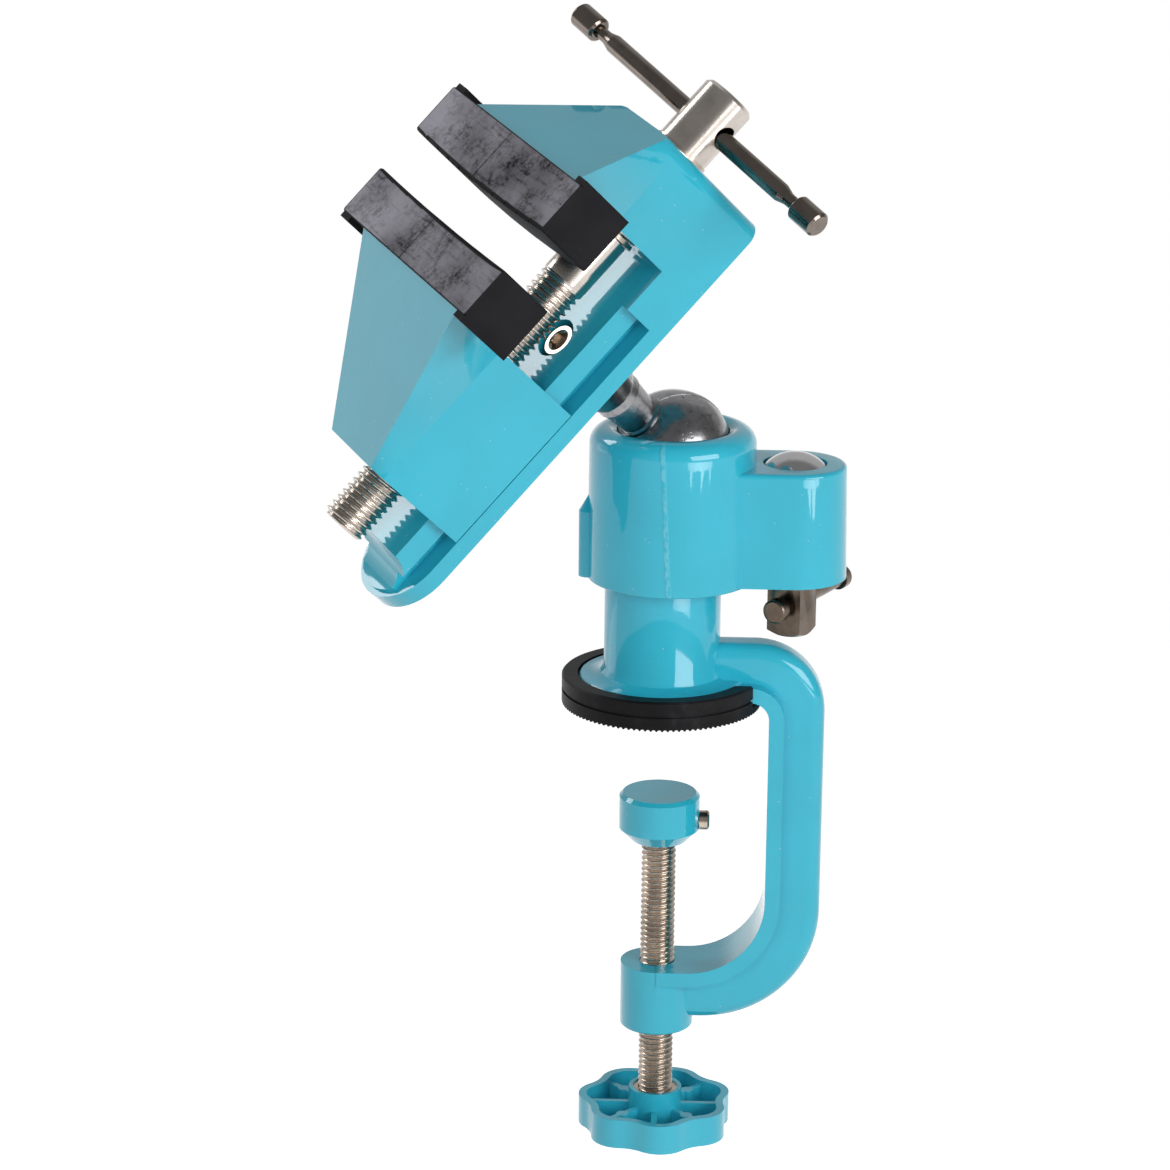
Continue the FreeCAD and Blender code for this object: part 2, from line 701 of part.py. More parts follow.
# ---- vise body, in the head's frame ------------------------------------------------------------
def tip_plate(radius, end_x, z0, z1):
    """Plate from end_x to a half-round tip about tip_centre_x."""
    return joined(block(tip_centre_x, end_x, -radius, radius, z0, z1),
                  rod(radius, z0, z1, tip_centre_x))


def jaw_wedge(face_x, end_x):
    """Top of a jaw: wide and high at the pad, drawn in to the spindle's end."""
    def outline(half_top, top):
        return [(-half_top, top), (half_top, top), (base_half_width, wing_crease),
                (-base_half_width, wing_crease)]
    return Part.makeLoft([section(face_x, outline(wing_top_half_width, wing_top)),
                          section(end_x, outline(wing_end_half_width, wing_end_top))], True, True)


def jaw_plate(front_x, back_x):
    """Cast plate that carries the rubber pad, from front_x to back_x."""
    half = jaw_width / 2 - pad_lip - running_gap
    top = jaw_pad_top - pad_cover - running_gap
    low = jaw_pad_top - pad_height + running_gap
    plate = block(min(front_x, back_x), max(front_x, back_x), -half, half, low, top)
    return round_edges(plate, overcut, lambda edge: edge.BoundBox.XLength > plate_thickness - seat_fit)


def jaw_head(face_x, end_x, outward):
    """Wedge, plate and the webs between them; outward is +1 for the fixed jaw."""
    back_x = face_x - (pad_thickness - plate_thickness - pad_lip) * outward
    front_x = back_x - plate_thickness * outward
    wedge = jaw_wedge(face_x, end_x)
    lower = [(-wing_top_half_width, wing_top), (wing_top_half_width, wing_top),
             (base_half_width, wing_crease), (-base_half_width, wing_crease)]
    neck = Part.Face(section(face_x, lower)).extrude(Vec((front_x - face_x), 0, 0))
    return joined(wedge, neck, jaw_plate(front_x, back_x))


def end_corner(side):
    """What is taken off an upright corner at the outer end to round it."""
    middle_x = base_end_x - end_corner_radius
    middle_y = (base_half_width - end_corner_radius) * side
    far_y = (base_half_width + overcut) * side
    square = block(middle_x, base_end_x + overcut, min(middle_y, far_y), max(middle_y, far_y),
                   base_bottom - overcut, wing_end_top + overcut)
    return square.cut(rod(end_corner_radius, base_bottom - 2 * overcut,
                          wing_end_top + 2 * overcut, middle_x, middle_y))


def vise_body():
    """Base plate, T-section guide rail and fixed jaw in one casting."""
    face_x = fixed_pad_face + pad_thickness
    base = tip_plate(base_half_width, base_end_x, base_bottom, base_top)
    inset = base_half_width - rail_end_inset
    ramp_low = rail_top - rail_end_radius
    tip_x = tip_centre_x - base_half_width
    scoop_x = rail_end_x - rail_end_radius
    rail = joined(
        block(tip_x, face_x, -web_rail_half_width, web_rail_half_width, base_top - seat_fit,
              rail_top),
        block(tip_x, face_x, -flange_rail_half_width, flange_rail_half_width,
              flange_rail_bottom, rail_top))
    rail = rail.common(tip_plate(inset, face_x, base_top - overcut, rail_top))
    scoop = rod_between(rail_end_radius, Vec(scoop_x, -base_half_width, rail_top),
                        Vec(scoop_x, base_half_width, rail_top))
    beyond = block(tip_x - overcut, scoop_x, -base_half_width, base_half_width, ramp_low,
                   rail_top + overcut)
    rail = rail.cut(scoop).cut(beyond)
    foot = block(foot_start_x, base_end_x, -base_half_width, base_half_width,
                 base_top - seat_fit, rail_top)
    wall = block(face_x, base_end_x, -base_half_width, base_half_width, base_bottom, wing_crease)
    body = joined(base, rail, foot, wall, jaw_head(face_x, base_end_x, 1))
    for side in (1, -1):
        body = body.cut(end_corner(side))
    journal = on_z_axis_to_x(rod(journal_radius + shaft_fit, face_x - pad_thickness,
                                 base_end_x + overcut))
    journal.translate(Vec(0, 0, spindle_height))
    screw_hole = rod(stud_screw_radius + seat_fit, base_bottom - overcut, rail_top)
    recess = rod(stud_recess_radius, rail_top - stud_recess_depth, rail_top + overcut)
    return body.cut(journal).cut(screw_hole).cut(recess)


def moving_jaw():
    """Sliding jaw: straddles the rail, wraps its flange and carries the spindle's thread."""
    face_x = fixed_pad_face - jaw_gap - pad_thickness
    skirt_bottom = base_top + running_gap
    block_body = block(moving_end_x, face_x, -base_half_width, base_half_width, skirt_bottom,
                       wing_crease)
    body = joined(block_body, jaw_head(face_x, moving_end_x, -1))
    slot_half = flange_rail_half_width + running_gap
    neck_half = web_rail_half_width + running_gap
    ends = (moving_end_x - overcut, face_x + overcut)
    slot = block(*ends, -slot_half, slot_half, flange_rail_bottom - running_gap,
                 rail_top + running_gap)
    neck = block(*ends, -neck_half, neck_half, skirt_bottom - overcut,
                 flange_rail_bottom)
    thread = on_z_axis_to_x(rod(spindle_radius + shaft_fit, *ends))
    thread.translate(Vec(0, 0, spindle_height))
    return body.cut(slot).cut(neck).cut(thread)


def rubber_pad(grip_x, bow_out, outward):
    """Moulded rubber cover: slips over a jaw plate, with an ear behind each end of it."""
    back_x = grip_x + pad_thickness * outward
    half = jaw_width / 2
    low = jaw_pad_top - pad_height
    corners = [Vec(grip_x, -half, low), Vec(grip_x, half, low)]
    bow = Part.Arc(corners[0], Vec(grip_x - bow_out * outward, 0, low), corners[1]).toShape()
    sides = Part.makePolygon([corners[1], Vec(back_x, half, low), Vec(back_x, -half, low),
                              corners[0]])
    body = Part.Face(Part.Wire([bow] + sides.Edges)).extrude(Vec(0, 0, pad_height))
    body = round_edges(body, pad_edge_round, lambda edge: (
        edge.BoundBox.ZLength > pad_height - seat_fit
        or (edge.BoundBox.ZMin > jaw_pad_top - seat_fit and edge.BoundBox.XMax * outward
            < grip_x * outward + overcut) and edge.BoundBox.YLength > half))
    front = grip_x + pad_lip * outward
    slot_back = front + plate_thickness * outward
    room = half - pad_lip
    slot = block(min(front, slot_back) - seat_fit, max(front, slot_back) + seat_fit, -room, room,
                 low - overcut, jaw_pad_top - pad_cover)
    behind = sorted((slot_back, back_x + overcut * outward))
    clear = wing_top_half_width + running_gap
    drop = low - overcut
    slope = (wing_top_half_width - base_half_width) / (wing_top - wing_crease)
    low_half = clear - slope * (wing_top - drop)
    opening = Part.Face(section(behind[0], [
        (-clear, jaw_pad_top - pad_cover), (clear, jaw_pad_top - pad_cover), (clear, wing_top),
        (low_half, drop), (-low_half, drop), (-clear, wing_top)])).extrude(
            Vec(behind[1] - behind[0], 0, 0))
    body = body.cut(slot).cut(opening)
    reach = sorted((slot_back, back_x + ear_depth * outward))
    for side in (1, -1):
        width = sorted((half * side, (half - ear_width) * side))
        body = body.fuse(block(*reach, *width, low, jaw_pad_top - ear_drop))
    return body.removeSplitter()


def fixed_pad():
    return rubber_pad(fixed_pad_face, fixed_pad_bow, 1)


def moving_pad():
    return rubber_pad(fixed_pad_face - jaw_gap, moving_pad_bow, -1)


# ---- spindle, in the head's frame --------------------------------------------------------------
def spindle():
    """Threaded shank, journal in the fixed jaw and cross-drilled head, turned from one bar."""
    face_x = fixed_pad_face + pad_thickness
    shoulder = face_x - retaining_ring_thickness - running_gap
    head_start = base_end_x + thrust_washer_thickness + 2 * seat_fit
    groove = journal_radius - ring_groove_depth
    body = turned([
        (0, spindle_start_x), (spindle_radius - spindle_chamfer, spindle_start_x),
        (spindle_radius, spindle_start_x + spindle_chamfer),
        (spindle_radius, shoulder - running_gap), (groove, shoulder - running_gap),
        (groove, face_x - seat_fit), (journal_radius, face_x - seat_fit),
        (journal_radius, head_start), (handle_head_radius, head_start),
        (handle_head_radius, handle_head_end_x - handle_head_edge),
        (handle_head_radius - handle_head_edge, handle_head_end_x), (0, handle_head_end_x)])
    body = on_z_axis_to_x(body)
    body.translate(Vec(0, 0, spindle_height))
    reach = handle_head_radius + overcut
    return body.cut(across_handle_head(rod(tommy_hole_radius, -reach, reach)))


def ring_about_spindle(inner, outer, x0, x1):
    ring = rod(outer, x0, x1).cut(rod(inner, x0 - overcut, x1 + overcut))
    ring = on_z_axis_to_x(ring)
    ring.translate(Vec(0, 0, spindle_height))
    return ring


def retaining_ring():
    """Split ring in the spindle's groove, against the inner face of the fixed jaw."""
    face_x = fixed_pad_face + pad_thickness
    inner = journal_radius - ring_groove_depth + shaft_fit
    end = face_x - running_gap
    start = end - retaining_ring_thickness
    ring = ring_about_spindle(inner, retaining_ring_radius, start, end)
    gap = block(start - overcut, end + overcut, -inner / 2, inner / 2, spindle_height,
                spindle_height + retaining_ring_radius + overcut)
    return ring.cut(gap)


def thrust_washer():
    return ring_about_spindle(journal_radius + shaft_fit, thrust_washer_radius,
                              base_end_x + seat_fit, base_end_x + seat_fit + thrust_washer_thickness)


def across_handle_head(shape):
    """Carry a piece built along Z to the cross hole of the head, +Z becoming its far end."""
    turn = FreeCAD.Rotation(X_AXIS, tommy_tilt - 90)
    place = FreeCAD.Placement(Vec(tommy_x, 0, spindle_height), turn)
    return shape.transformed(place.toMatrix(), copy=True)


def along_tommy_bar(shape):
    """Carry a piece built along Z to the line of the handle, which leans in its loose hole."""
    lean = FreeCAD.Placement(Vec(0, 0, 0), FreeCAD.Rotation(Y_AXIS, tommy_lean))
    slip = FreeCAD.Placement(Vec(0, 0, tommy_slip), FreeCAD.Rotation())
    body = across_handle_head(shape.transformed((lean * slip).toMatrix(), copy=True))
    body.translate(Vec(-tommy_lie, 0, 0))
    return body


def tommy_bar():
    """Handle bar, tapered to a thin neck that runs into each cap."""
    neck_start = tommy_half_length - tommy_cap_length - tommy_neck_length
    bar_end = neck_start - tommy_taper_length
    seat = tommy_half_length - tommy_cap_length / 2
    return along_tommy_bar(turned([
        (0, -seat), (tommy_neck_radius, -seat), (tommy_neck_radius, -neck_start),
        (tommy_radius, -bar_end), (tommy_radius, bar_end), (tommy_neck_radius, neck_start),
        (tommy_neck_radius, seat), (0, seat)]))


def tommy_bar_caps():
    """The two enlarged caps pressed on the necks of the handle."""
    caps = []
    for side in (1, -1):
        end = tommy_half_length * side
        start = end - tommy_cap_length * side
        edge = tommy_cap_edge * side
        bottom = end - (tommy_cap_length / 2 - seat_fit) * side
        inner = tommy_neck_radius + seat_fit
        caps.append(along_tommy_bar(turned([
            (0, end), (tommy_cap_radius - tommy_cap_edge, end), (tommy_cap_radius, end - edge),
            (tommy_cap_radius, start + edge), (tommy_cap_radius - tommy_cap_edge, start),
            (inner, start), (inner, bottom), (0, bottom)])))
    return Part.makeCompound(caps)


fixed_pieces = {
    "clamp_frame": clamp_frame, "base_foot": base_foot, "pressure_pad": pressure_pad,
    "pad_screw": pad_screw, "clamp_screw": clamp_screw, "knob": knob, "knob_insert": knob_insert,
    "socket_housing": socket_housing, "clamp_shoe": clamp_shoe, "lock_bolt": lock_bolt,
    "lock_washer": lock_washer, "lock_nut": lock_nut, "lock_bar": lock_bar,
    "lock_bar_caps": lock_bar_caps, "ball_seat": ball_seat}
head_pieces = {
    "ball_stud": ball_stud, "stud_spacer": stud_spacer, "stud_washer": stud_washer,
    "stud_screw": stud_screw, "vise_body": vise_body, "fixed_pad": fixed_pad,
    "moving_jaw": moving_jaw, "moving_pad": moving_pad, "spindle": spindle,
    "retaining_ring": retaining_ring, "thrust_washer": thrust_washer, "tommy_bar": tommy_bar,
    "tommy_bar_caps": tommy_bar_caps}

os.makedirs("parts", exist_ok=True)
for name, build in fixed_pieces.items():
    build().exportStep(f"parts/{name}.step")
for name, build in head_pieces.items():
    in_head(build()).exportStep(f"parts/{name}.step")
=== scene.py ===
"""Ball vise: enamelled castings, rubber jaw pads, plated screws and a scuffed ball, in a white studio."""
import json
import math

import bmesh
import bpy
import numpy as np
from bpy.props import FloatProperty, FloatVectorProperty, IntProperty, PointerProperty
from mathutils import Matrix, Vector


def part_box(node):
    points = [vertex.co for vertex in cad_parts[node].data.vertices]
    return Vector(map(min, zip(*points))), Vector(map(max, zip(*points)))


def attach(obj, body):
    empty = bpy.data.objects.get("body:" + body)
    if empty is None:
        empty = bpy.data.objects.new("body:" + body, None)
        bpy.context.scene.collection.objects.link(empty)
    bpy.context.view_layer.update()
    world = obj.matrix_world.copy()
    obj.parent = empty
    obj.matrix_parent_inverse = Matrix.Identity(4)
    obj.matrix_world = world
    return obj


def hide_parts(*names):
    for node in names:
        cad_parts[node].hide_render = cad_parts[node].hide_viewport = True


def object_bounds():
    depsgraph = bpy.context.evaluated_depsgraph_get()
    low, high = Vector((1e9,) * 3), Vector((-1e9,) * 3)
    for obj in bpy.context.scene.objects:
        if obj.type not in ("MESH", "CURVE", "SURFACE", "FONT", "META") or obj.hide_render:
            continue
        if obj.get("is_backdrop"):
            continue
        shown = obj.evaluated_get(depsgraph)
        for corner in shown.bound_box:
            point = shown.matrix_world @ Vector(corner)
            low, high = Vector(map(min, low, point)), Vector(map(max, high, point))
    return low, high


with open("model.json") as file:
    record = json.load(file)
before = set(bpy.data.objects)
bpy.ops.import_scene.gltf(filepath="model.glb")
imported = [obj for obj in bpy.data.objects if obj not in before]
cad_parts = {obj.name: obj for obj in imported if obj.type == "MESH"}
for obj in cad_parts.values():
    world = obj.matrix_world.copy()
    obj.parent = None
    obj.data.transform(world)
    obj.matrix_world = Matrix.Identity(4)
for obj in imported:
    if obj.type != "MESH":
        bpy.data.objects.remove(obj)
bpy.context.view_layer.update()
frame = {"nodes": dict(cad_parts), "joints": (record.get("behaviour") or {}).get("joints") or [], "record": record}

bl_info = {
    "name": "Ball vise",
    "version": (1, 0, 0),
    "blender": (4, 5, 0),
    "location": "View3D > Sidebar > Vise",
    "description": "Dresses the packed ball vise and sets up its studio",
    "category": "Object",
}

JOINTS = {joint["name"]: joint for joint in frame["joints"]}
BODY_OF = {node: body for body, nodes in frame["record"]["behaviour"]["bodies"].items() for node in nodes}

# The head's own frame: origin at the ball's centre, x along the spindle, z up the stem to the jaws.
HEAD_X = Vector(JOINTS["jaw_travel"]["axis"]).normalized()
HEAD_Z = Vector(JOINTS["ball_spin"]["axis"]).normalized()
HEAD_Y = HEAD_Z.cross(HEAD_X).normalized()
HEAD_TURN = Matrix((HEAD_X, HEAD_Y, HEAD_Z)).transposed().to_4x4()
HEAD = Matrix.Translation(JOINTS["ball_spin"]["pos_m"]) @ HEAD_TURN
SPINDLE_AXIS_HEIGHT = (HEAD.inverted() @ Vector(JOINTS["spindle_turn"]["pos_m"])).z


def head_corners(node):
    """Corners of a CAD node's mesh in the head's frame, as an array."""
    mesh = frame["nodes"][node].data
    corners = np.empty(len(mesh.vertices) * 3)
    mesh.vertices.foreach_get("co", corners)
    back = np.array(HEAD.inverted())
    return corners.reshape(-1, 3) @ back[:3, :3].T + back[:3, 3]


PAD_TOP = float(head_corners("fixed_pad")[:, 2].max())

# The mould's seam on the socket: where it would meet the ground, and how far it leans for each metre up.
SEAM_FOOT = 0.00368
SEAM_LEAN = 0.0534

# The line of the mould across a jaw pad, from the middle of the jaw.
PAD_SEAM = 0.002

# A face belongs to the top of a pad when it looks up this squarely and lies this near the top.
UPWARD = 0.99
TOP_SKIN = 0.0002

# Colours that the finishes mix in: dust in enamel, a painted highlight along a seam, inside a pit, clouds of the
# floor.
SPECK_TONE = (0.55, 0.68, 0.72)
SEAM_HIGHLIGHT_TONE = (0.40, 0.72, 0.82)
PIT_TONE = (0.060, 0.048, 0.040)
FLOOR_CLOUD = (0.82, 0.82, 0.82)

# Corners nearer than WELD become one, and radii nearer than SAME_RADIUS are the same.
WELD = 0.000002
SAME_RADIUS = 0.00005

# Faces within FLAT of each other are joined, edges past SHARP are rounded, and those past CRISP are shaded
# as edges, or past CRISP_THREAD on a thread.
FLAT = math.radians(0.6)
SHARP = math.radians(28)
CRISP = math.radians(40)
CRISP_THREAD = math.radians(50)

# A thread's section in shares of its pitch: the flat crest, and the two flanks together.
CREST = 0.14
FLANKS = 0.72

# The teeth of the foot: steps around each, how square they are, and their root above the ground in depths.
STEPS_A_TOOTH = 8
TOOTH_SQUARENESS = 1.6
TOOTH_ROOT = 1.3

# The spindle's shank ends within this distance of the ball's centre, along the spindle, and the CAD node's
# mesh is kept from this far inside that end.
SHANK_REACH = 0.045
HEAD_OVERLAP = 0.00015

# The middle of the vise, which the large lamps face.
MIDDLE = (0.0, -0.01, 0.06)

# Name, the place it faces, the direction it stands in, distance, width, height, power in watts, spread in
# degrees, and whether glossy surfaces mirror it.
LAMPS = (
    ("key_right", MIDDLE, (0.70, -0.68, 0.26), 1.6, 1.1, 0.76, 9.2, 140, True),
    ("fill_front", MIDDLE, (-0.3, -1.0, 0.2), 1.5, 1.3, 1.3, 5.5, 140, False),
    ("fill_behind", MIDDLE, (0.2, 1.0, 0.08), 1.5, 1.3, 1.0, 3.0, 140, False),
    ("above_behind", (-0.03, -0.02, 0.11), (-0.716, 0.4236, 0.5545), 1.0, 0.34, 0.34, 1.25, 140, True),
    ("left_behind", (-0.05, -0.03, 0.10), (-0.903, 0.427, 0.02), 1.0, 0.5, 0.5, 0.28, 140, True),
    ("low_strip", (0.0, 0.0, 0.123), (0.616, -0.788, -0.27), 0.57, 0.34, 0.040, 0.028, 60, True),
)

SENSOR_WIDTH = 36.0
FLOOR_HALF_WIDTH = 6.0
FLOOR_GAP = 0.0002

# How strongly the floor near the vise glows where it is seen, and the world: its own light and tint, and what
# mirrors see of it in front, what it has more of behind and what it loses overhead.
FLOOR_GLOW = 0.70
WORLD_LIGHT = 0.12
WORLD_TINT = (0.95, 0.97, 1.0, 1)
MIRRORED_FRONT = 0.24
MIRRORED_BEHIND = 0.76
MIRRORED_OVERHEAD = 0.46


# ---- settings ------------------------------------------------------------------------------------
def length(name, description, default, soft_max=0.1):
    return FloatProperty(name=name, description=description, default=default, min=0.0, soft_max=soft_max,
                         unit="LENGTH", subtype="DISTANCE")


def colour(name, description, default):
    return FloatVectorProperty(name=name, description=description, default=default, size=3,
                               min=0.0, max=1.0, subtype="COLOR")


class VISE_PG_colours(bpy.types.PropertyGroup):
    enamel: colour("Enamel", "Teal gloss enamel of the castings", (0.030, 0.49, 0.65))
    rubber: colour("Rubber", "Black rubber of the pads and the foot", (0.006, 0.0058, 0.0066))
    rubber_dust: colour("Rubber dust", "Grey bloom on the rubber", (0.075, 0.073, 0.080))
    # Grey on the top of the jaw pads: part dust and part painted sheen, the lamp above mirrored in the rubber.
    pad_dust_and_sheen: colour("Pad dust", "Grey bloom on the top of the jaw pads", (0.50, 0.485, 0.545))
    nickel: colour("Nickel", "Plating of the screws, washers and sleeve", (0.60, 0.51, 0.43))
    bright: colour("Bright plate", "Plating of the spindle", (0.67, 0.61, 0.555))
    ball: colour("Ball", "Bare cast metal of the ball and its stem", (0.34, 0.34, 0.35))
    chrome: colour("Chrome", "Polished head of the clamping bolt", (0.62, 0.62, 0.63))
    handle: colour("Handle", "Darkened plating of the handle bar and its caps", (0.24, 0.205, 0.18))
    dark_plate: colour("Dark plate", "Browned plating of the clamping nut and its bar", (0.17, 0.13, 0.10))
    seat: colour("Seat", "Plain moulded cup under the ball", (0.70, 0.69, 0.65))
    floor: colour("Floor", "Pale floor of the studio", (0.86, 0.86, 0.86))


class VISE_PG_sizes(bpy.types.PropertyGroup):
    casting_edge: length("Casting edge", "Radius on the edges of the castings", 0.0006, 0.003)
    rubber_edge: length("Rubber edge", "Radius on the edges of the rubber and the knob", 0.0004, 0.003)
    turned_edge: length("Turned edge", "Radius on the edges of the turned pieces", 0.00018, 0.001)
    clamp_pitch: length("Clamp screw pitch", "Advance of the clamp screw in one turn", 0.0015875, 0.005)
    clamp_depth: length("Clamp thread depth", "Depth of the clamp screw's thread", 0.00088, 0.002)
    spindle_pitch: length("Spindle pitch", "Advance of the spindle in one turn", 0.0254 / 13, 0.005)
    spindle_depth: length("Spindle thread depth", "Depth of the spindle's thread", 0.0011, 0.002)
    spindle_thread_end: length("Spindle thread end", "Where the thread stops and the plain shank starts",
                               0.012, 0.03)
    tooth_depth: length("Tooth depth", "Depth of the grip teeth of the foot", 0.0006, 0.002)
    pad_rim: length("Pad rim", "Clean black rim around the dusty top of a jaw pad", 0.0006, 0.003)
    tooth_length: length("Tooth length", "How far the grip teeth reach in under the foot", 0.0025, 0.01)
    foot_teeth: IntProperty(name="Foot teeth", description="Grip teeth around the foot",
                            default=112, min=20, max=240)
    around: IntProperty(name="Steps around", description="Faces around a thread",
                        default=60, min=12, max=160)
    rows_a_turn: IntProperty(name="Rows a turn", description="Rows of faces in each turn of a thread",
                             default=10, min=4, max=24)


class VISE_PG_camera(bpy.types.PropertyGroup):
    place: FloatVectorProperty(name="Camera place", description="Where the camera stands", size=3,
                               unit="LENGTH", subtype="TRANSLATION",
                               default=(0.014508, -1.058723, 0.345304))
    azimuth: FloatProperty(name="Azimuth", description="Camera's turn from looking along +Y",
                           unit="ROTATION", subtype="ANGLE", default=math.radians(-1.92))
    elevation: FloatProperty(name="Elevation", description="How far the camera looks down",
                             unit="ROTATION", subtype="ANGLE", default=math.radians(16.46))
    roll: FloatProperty(name="Roll", description="Camera's turn about its own view",
                        unit="ROTATION", subtype="ANGLE", default=math.radians(0.6))
    focal: FloatProperty(name="Focal length", description="Lens on a 36 mm sensor, in millimetres",
                         default=126.3, min=10.0, max=500.0)


# ---- shader maths ----------------------------------------------------------------------------------
class Wire:
    """A socket of a material's node tree that can be used in sums; numbers stand for themselves."""

    def __init__(self, paint, socket):
        self.paint, self.socket = paint, socket

    def _math(self, operation, *values):
        return self.paint.node("ShaderNodeMath", {"operation": operation}, dict(enumerate(values)))[0]

    def __add__(self, other):
        return self._math("ADD", self, other)

    __radd__ = __add__

    def __sub__(self, other):
        return self._math("SUBTRACT", self, other)

    def __rsub__(self, other):
        return self._math("SUBTRACT", other, self)

    def __mul__(self, other):
        return self._math("MULTIPLY", self, other)

    __rmul__ = __mul__

    def __pow__(self, other):
        return self._math("POWER", self, other)

    def absolute(self):
        return self._math("ABSOLUTE", self)

    def larger(self, other):
        return self._math("MAXIMUM", self, other)

    def ramp(self, low, high):
        """0 below low, 1 above high, and smooth between them."""
        return self.paint.node("ShaderNodeMapRange", {"interpolation_type": "SMOOTHSTEP", "clamp": True},
                               {"Value": self, "From Min": low, "From Max": high, "To Min": 0.0,
                                "To Max": 1.0})["Result"]


class Paint:
    def __init__(self, name, world=False):
        self.material = (bpy.data.worlds if world else bpy.data.materials).new(name)
        self.material.use_nodes = True
        self.output = "ShaderNodeOutputWorld" if world else "ShaderNodeOutputMaterial"
        self.tree = self.material.node_tree
        self.tree.nodes.clear()

    def node(self, kind, settings=None, inputs=None):
        """Add a node, set its settings, then its sockets; gives its outputs as Wires by name or number."""
        node = self.tree.nodes.new(kind)
        for key, value in (settings or {}).items():
            setattr(node, key, value)
        for key, value in (inputs or {}).items():
            socket = node.inputs[key]
            if isinstance(value, Wire):
                self.tree.links.new(value.socket, socket)
            else:
                socket.default_value = value
        outputs = {output.name: Wire(self, output) for output in node.outputs if output.enabled}
        outputs.update({number: Wire(self, output) for number, output in enumerate(node.outputs)})
        return outputs

    def place(self):
        """Object coordinates, in metres."""
        return self.node("ShaderNodeTexCoord")["Object"]

    def turned_place(self, matrix):
        """Object coordinates carried into the frame that the matrix leads from."""
        back = matrix.inverted()
        return self.node("ShaderNodeMapping", {"vector_type": "POINT"},
                         {"Vector": self.place(), "Location": back.to_translation(),
                          "Rotation": back.to_euler("XYZ")})[0]

    def parts(self, vector):
        split = self.node("ShaderNodeSeparateXYZ", None, {0: vector})
        return split["X"], split["Y"], split["Z"]

    def noise(self, vector, scale, detail=3.0, roughness=0.5, stretch=(1, 1, 1)):
        """Cloudy noise from 0 to 1; scale is in blobs a metre."""
        spread = self.node("ShaderNodeVectorMath", {"operation": "MULTIPLY"}, {0: vector, 1: stretch})[0]
        return self.node("ShaderNodeTexNoise", {"noise_dimensions": "3D"},
                         {"Vector": spread, "Scale": scale, "Detail": detail, "Roughness": roughness})[0]

    def cells(self, vector, scale):
        """Distance to the nearest of many scattered points."""
        return self.node("ShaderNodeTexVoronoi", {"feature": "F1"},
                         {"Vector": vector, "Scale": scale})["Distance"]

    def blend(self, amount, first, second):
        """Colour between two others."""
        mix = self.node("ShaderNodeMix", {"data_type": "RGBA", "clamp_factor": True},
                        {0: amount, 6: first if isinstance(first, Wire) else (*first, 1.0),
                         7: second if isinstance(second, Wire) else (*second, 1.0)})
        return mix[2]

    def bump(self, height, distance, below=None):
        """Normal of a relief whose full height is the distance, over the normal below it."""
        inputs = {"Height": height, "Distance": distance, "Strength": 1.0}
        if below is not None:
            inputs["Normal"] = below
        return self.node("ShaderNodeBump", None, inputs)[0]

    def shade(self, **sockets):
        """End with the Principled shader: base_color sets Base Color, coat_ior Coat IOR, and so on."""
        inputs = {key.replace("_", " ").title().replace("Ior", "IOR"): value
                  for key, value in sockets.items()}
        self.finish(self.node("ShaderNodeBsdfPrincipled", None, inputs)[0])

    def mirrored_or_seen(self):
        """1 for what the camera sees, directly, mirrored or through glass, and 0 for light on surfaces."""
        paths = self.node("ShaderNodeLightPath")
        mirrored = paths["Is Glossy Ray"].larger(paths["Is Transmission Ray"])
        return paths["Is Camera Ray"].larger(mirrored)

    def glow(self, strength):
        return self.node("ShaderNodeEmission", None, {"Color": (1, 1, 1, 1), "Strength": strength})[0]

    def mixed(self, amount, first, second):
        return self.node("ShaderNodeMixShader", None, {0: amount, 1: first, 2: second})[0]

    def finish(self, shader):
        self.node(self.output, {"is_active_output": True}, {"Surface": shader})


def darker(tone, share):
    return tuple(channel * share for channel in tone)


def enamel_paint(name, tone, seamed):
    """Gloss enamel over a sand casting: even colour, fine orange peel, slow waves and a few dust specks.

    A seamed casting shows its mould's ragged line, where x is SEAM_FOOT less SEAM_LEAN times the height, with a
    painted highlight along it."""
    paint = Paint(name)
    place = paint.place()
    cloud = paint.noise(place, 45.0, 2.0)
    tint = paint.blend(cloud.ramp(0.3, 0.75), darker(tone, 0.94), tone)
    specks = 1.0 - paint.cells(place, 260.0).ramp(0.035, 0.07)
    tint = paint.blend(specks * 0.35, tint, SPECK_TONE)
    waves = paint.noise(place, 75.0, 2.0)
    peel = paint.noise(place, 620.0, 2.0)
    grain = paint.noise(place, 950.0, 2.0)
    rough_patch = paint.noise(place, 55.0, 2.0).ramp(0.42, 0.6)
    normal = paint.bump(waves, 0.00030)
    normal = paint.bump(peel + specks * 0.8 + grain * rough_patch * 1.1, 0.000038, normal)
    if seamed:
        x, _, z = paint.parts(place)
        ragged = paint.noise(place, 700.0, 3.0)
        off_seam = (x + z * SEAM_LEAN - SEAM_FOOT + (ragged - 0.5) * 0.0010).absolute()
        ridge = 1.0 - off_seam.ramp(0.0003, 0.0009)
        normal = paint.bump(ridge, 0.00014, normal)
        # Painted highlight: the seam's ridge is tinted lighter, as a lamp's glint on it would look.
        tint = paint.blend(ridge * ragged.ramp(0.3, 0.6) * 0.22, tint, SEAM_HIGHLIGHT_TONE)
    paint.shade(base_color=tint, roughness=0.3 + cloud * 0.08, ior=1.5, specular_ior_level=0.08,
                normal=normal, coat_weight=1.0, coat_roughness=0.035, coat_ior=1.5)


